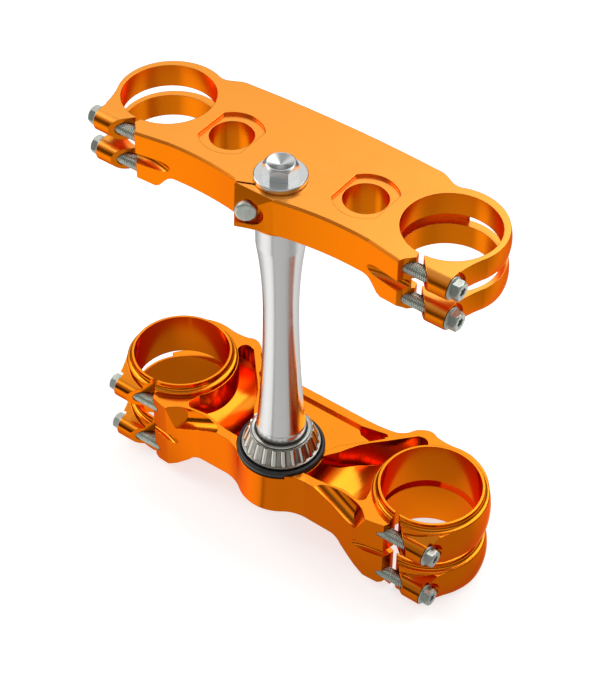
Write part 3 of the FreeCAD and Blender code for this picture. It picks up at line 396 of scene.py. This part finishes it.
def lathe(shape, outline, steps, loop=False):
    """Spin an outline of (radius, height) points round z. Its ends lie on z, or it is a loop."""
    line = [shape.verts.new((radius, 0, height)) for radius, height in outline]
    pairs = list(zip(line, line[1:])) + ([(line[-1], line[0])] if loop else [])
    edges = [shape.edges.new(pair) for pair in pairs]
    bmesh.ops.spin(
        shape, geom=line + edges, cent=(0, 0, 0), axis=(0, 0, 1), angle=math.tau, steps=steps,
        use_merge=True,
    )
    bmesh.ops.remove_doubles(shape, verts=shape.verts, dist=SAME_POLE)


def threaded_shank(shape, length):
    """A helical thread down the z axis, cut flat and closed at its tip and just inside the head."""
    steps = 36
    inside_head = 0.3 * MM
    quarter_turns = 4 * (round(length / THREAD_PITCH) + 3)
    line = []
    for quarter in range(quarter_turns + 1):
        crest = (THREAD_DEPTH, THREAD_DEPTH, 0, 0)[quarter % 4]
        height = THREAD_PITCH - quarter * THREAD_PITCH / 4
        line.append(shape.verts.new((THREAD_RADIUS - THREAD_DEPTH + crest, 0, height)))
    edges = [shape.edges.new(pair) for pair in zip(line, line[1:])]
    bmesh.ops.spin(
        shape, geom=line + edges, cent=(0, 0, 0), axis=(0, 0, 1), angle=math.tau, steps=steps,
        dvec=(0, 0, THREAD_PITCH / steps),
    )
    bmesh.ops.remove_doubles(shape, verts=shape.verts, dist=SAME_PLACE)
    for cut, outward in ((inside_head, 1), (-length, -1)):
        everything = list(shape.verts) + list(shape.edges) + list(shape.faces)
        bmesh.ops.bisect_plane(
            shape, geom=everything, plane_co=(0, 0, cut), plane_no=(0, 0, outward), clear_outer=True,
        )
        rim = [edge for edge in shape.edges if edge.is_boundary
               and all(abs(vert.co.z - cut) < SAME_PLACE for vert in edge.verts)]
        bmesh.ops.holes_fill(shape, edges=rim, sides=0)


def place_screw(shape, seat, towards_head):
    """Turn a screw built along z, its seat at zero, and put its seat in place."""
    turn = towards_head.to_track_quat("Z", "Y").to_matrix()
    bmesh.ops.rotate(shape, verts=shape.verts, cent=(0, 0, 0), matrix=turn)
    bmesh.ops.translate(shape, verts=shape.verts, vec=seat)


def press_head(screw, apothem, foot, crown, recess, recess_depth):
    """Press the turned head into a hexagon with bevelled corners and a six-lobed recess."""
    bevel_inset, bevel_slope = 0.35 * MM, 1.1
    mouth_lobe, deep_lobe, mouth_share = 0.15, 0.13, 0.35
    for vert in screw.verts:
        radius = math.hypot(vert.co.x, vert.co.y)
        top_face = recess * 1.3 < radius < apothem * 0.95
        if radius < SAME_PLACE or vert.co.z < foot - SAME_POLE or top_face:
            continue
        angle = math.atan2(vert.co.y, vert.co.x)
        below_crown = crown - vert.co.z
        if radius > recess * 1.3:
            from_middle = (angle + math.tau) % (math.pi / 3) - math.pi / 6
            wanted = min(apothem / math.cos(from_middle), apothem - bevel_inset + below_crown * bevel_slope)
        else:
            lobe = mouth_lobe if below_crown < recess_depth * mouth_share else deep_lobe
            wanted = radius * (1 + lobe * math.cos(6 * angle))
        vert.co.x *= wanted / radius
        vert.co.y *= wanted / radius


def pinch_screw(node, side):
    """Flanged screw in place of the plain one: seat towards the split, head outboard."""
    low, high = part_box(node)
    axis_y = (low[1] + high[1]) / 2
    axis_z = (low[2] + high[2]) / 2
    tip, top = (low[0], high[0]) if side > 0 else (high[0], low[0])
    flange = (high[2] - low[2]) / 2
    crown = 6.1 * MM
    hexagon_foot = 1.5 * MM
    apothem = 5 * MM
    recess = 2.5 * MM
    recess_depth = 3 * MM
    flange_edge = ((0.5, 0), (0.15, 0.12), (0, 0.45), (0.12, 0.8), (0.5, 1.05))
    rows_below_crown = (2.2, 1.7, 1.3, 0.9, 0.5, 0.2)
    outline = [(0, 0), (3.6 * MM, 0)]
    outline += [(flange - inset * MM, height * MM) for inset, height in flange_edge]
    outline += [(apothem * 1.13, 1.3 * MM), (apothem, hexagon_foot)]
    outline += [(apothem, crown - down * MM) for down in rows_below_crown]
    outline += [
        (apothem - 0.36 * MM, crown), (recess * 1.45, crown), (recess, crown),
        (recess * 0.94, crown - 0.15 * MM), (recess * 0.92, crown - recess_depth),
        (0, crown - recess_depth - 0.5 * MM),
    ]
    screw = bmesh.new()
    threaded_shank(screw, abs(top - tip) - crown)
    lathe(screw, outline, SCREW_STEPS)
    press_head(screw, apothem, hexagon_foot, crown, recess, recess_depth)
    place_screw(screw, Vector((top - side * crown, axis_y, axis_z)), Vector((side, 0, 0)))
    new_piece(node + "_detailed", screw, "screw_zinc", "clamps", node)


def stem_pinch_screw():
    """The screw that closes the upper clamp on the stem, with a plain round head."""
    node = "stem_pinch_screw"
    heading = math.radians(33)
    under_head = 26 * MM
    radius = 6.15 * MM
    crown = 3.7 * MM
    rounding = ((0.15, 0.8), (0.5, 0.4), (1.1, 0.15), (2.2, 0.02))
    towards_head = Vector((math.sin(heading), -math.cos(heading), 0))
    low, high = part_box(node)
    points = [vert.co for vert in nodes[node].data.vertices]
    tip_end = min(co.dot(towards_head) for co in points) + 0.01 * MM
    tip = [co for co in points if co.dot(towards_head) < tip_end]
    tip_x, tip_y = ((min(co[k] for co in tip) + max(co[k] for co in tip)) / 2 for k in (0, 1))
    seat = Vector((tip_x, tip_y, (low[2] + high[2]) / 2)) + towards_head * under_head
    outline = [(0, 0), (radius - 0.4 * MM, 0), (radius, 0.4 * MM), (radius, crown - 1.3 * MM)]
    outline += [(radius - inset * MM, crown - down * MM) for inset, down in rounding]
    outline += [(0, crown)]
    screw = bmesh.new()
    threaded_shank(screw, under_head)
    lathe(screw, outline, SCREW_STEPS)
    place_screw(screw, seat, towards_head)
    new_piece("stem_pinch_screw_detailed", screw, "screw_zinc", "clamps", node)


def bearing_inner_ring():
    """Inner ring of the bearing, with its two ribs, the cone between them and bevelled edges."""
    outline = (
        (15.0, 0), (21.1, 0), (21.6, 0.5), (21.6, 3.7), (21.3, 4.03), (19.05, 4.03), (15.85, 16.17),
        (17.8, 16.17), (18.0, 16.35), (18.0, 16.65), (17.65, 17.0),
        (16.2, 17.0), (15.9, 16.85), (15.05, 15.8),
    )
    ring = bmesh.new()
    lathe(ring, [(radius * MM, height * MM) for radius, height in outline], BEARING_STEPS, loop=True)
    new_piece("bearing_inner_ring_detailed", ring, "bearing_steel", "clamps", "bearing_inner_ring")


def bearing_cage_rim():
    """The rolled rim at the foot of the cage."""
    rim_radius, rim_height, wire, sides = 23.5, 5.35, 0.22, 10
    turns = [math.tau * k / sides for k in range(sides)]
    rim = bmesh.new()
    lathe(rim, [
        ((rim_radius + wire * math.cos(turn)) * MM, (rim_height + wire * math.sin(turn)) * MM)
        for turn in turns
    ], BEARING_STEPS, loop=True)
    new_piece("bearing_cage_rim", rim, "bearing_steel", "roller_set")


bpy.context.scene.view_settings.view_transform = "Standard"
add_camera()
build_dome()
build_floor()
add_softbox("overhead_softbox", place=(0.25, 0.75, 1.15), size=(1.3, 0.9), power=6)
add_softbox("side_softbox", place=(-1.1, -0.25, 0.8), size=(0.7, 0.9), power=4)

worked_surface = build_worked_surface()
finish = {
    # Each clamp's top colour is a painted sheen on its faces that lie level.
    "upper_anodised": anodised(
        "upper_anodised", flank=(0.87, 0.2, 0.0015), top=(0.97, 0.37, 0.06), rough=0.28, grain=0.12),
    # The lower clamp has darker colours than the upper: painted shade on the same anodising.
    "lower_anodised": anodised(
        "lower_anodised", flank=(0.82, 0.168, 0.0015), top=(0.92, 0.27, 0.014), rough=0.17, grain=0.1),
    "stem_metal": turned(
        "stem_metal", (0.69, 0.685, 0.67), rough=0.2, rings=2600, grain=0.4, foot=17.8 * MM),
    "bolt_metal": turned("bolt_metal", (0.57, 0.58, 0.575), rough=0.26, rings=3000, grain=0.3),
    "screw_zinc": plated("screw_zinc", (0.6, 0.64, 0.57), rough=0.4, mottle=300, darkest=0.8),
    "bearing_steel": plated("bearing_steel", (0.5, 0.5, 0.48), rough=0.24, mottle=120, darkest=0.9),
    "cage_steel": plated("cage_steel", (0.38, 0.365, 0.31), rough=0.34, mottle=200, darkest=0.8),
    "roller_steel": plated("roller_steel", (0.6, 0.59, 0.53), rough=0.17, mottle=90, darkest=0.9),
    "seal_rubber": moulded_rubber("seal_rubber"),
}

for part in frame["record"]["subparts"]:
    body = nodes[part["node"]]
    body.data.materials.clear()
    body.data.materials.append(finish[part["material_slot"]])

for clamp in ("upper", "lower"):
    for side, word in ((1, "right"), (-1, "left")):
        for row in ("high", "low"):
            pinch_screw("%s_pinch_screw_%s_%s" % (clamp, word, row), side)
stem_pinch_screw()
bearing_inner_ring()
bearing_cage_rim()
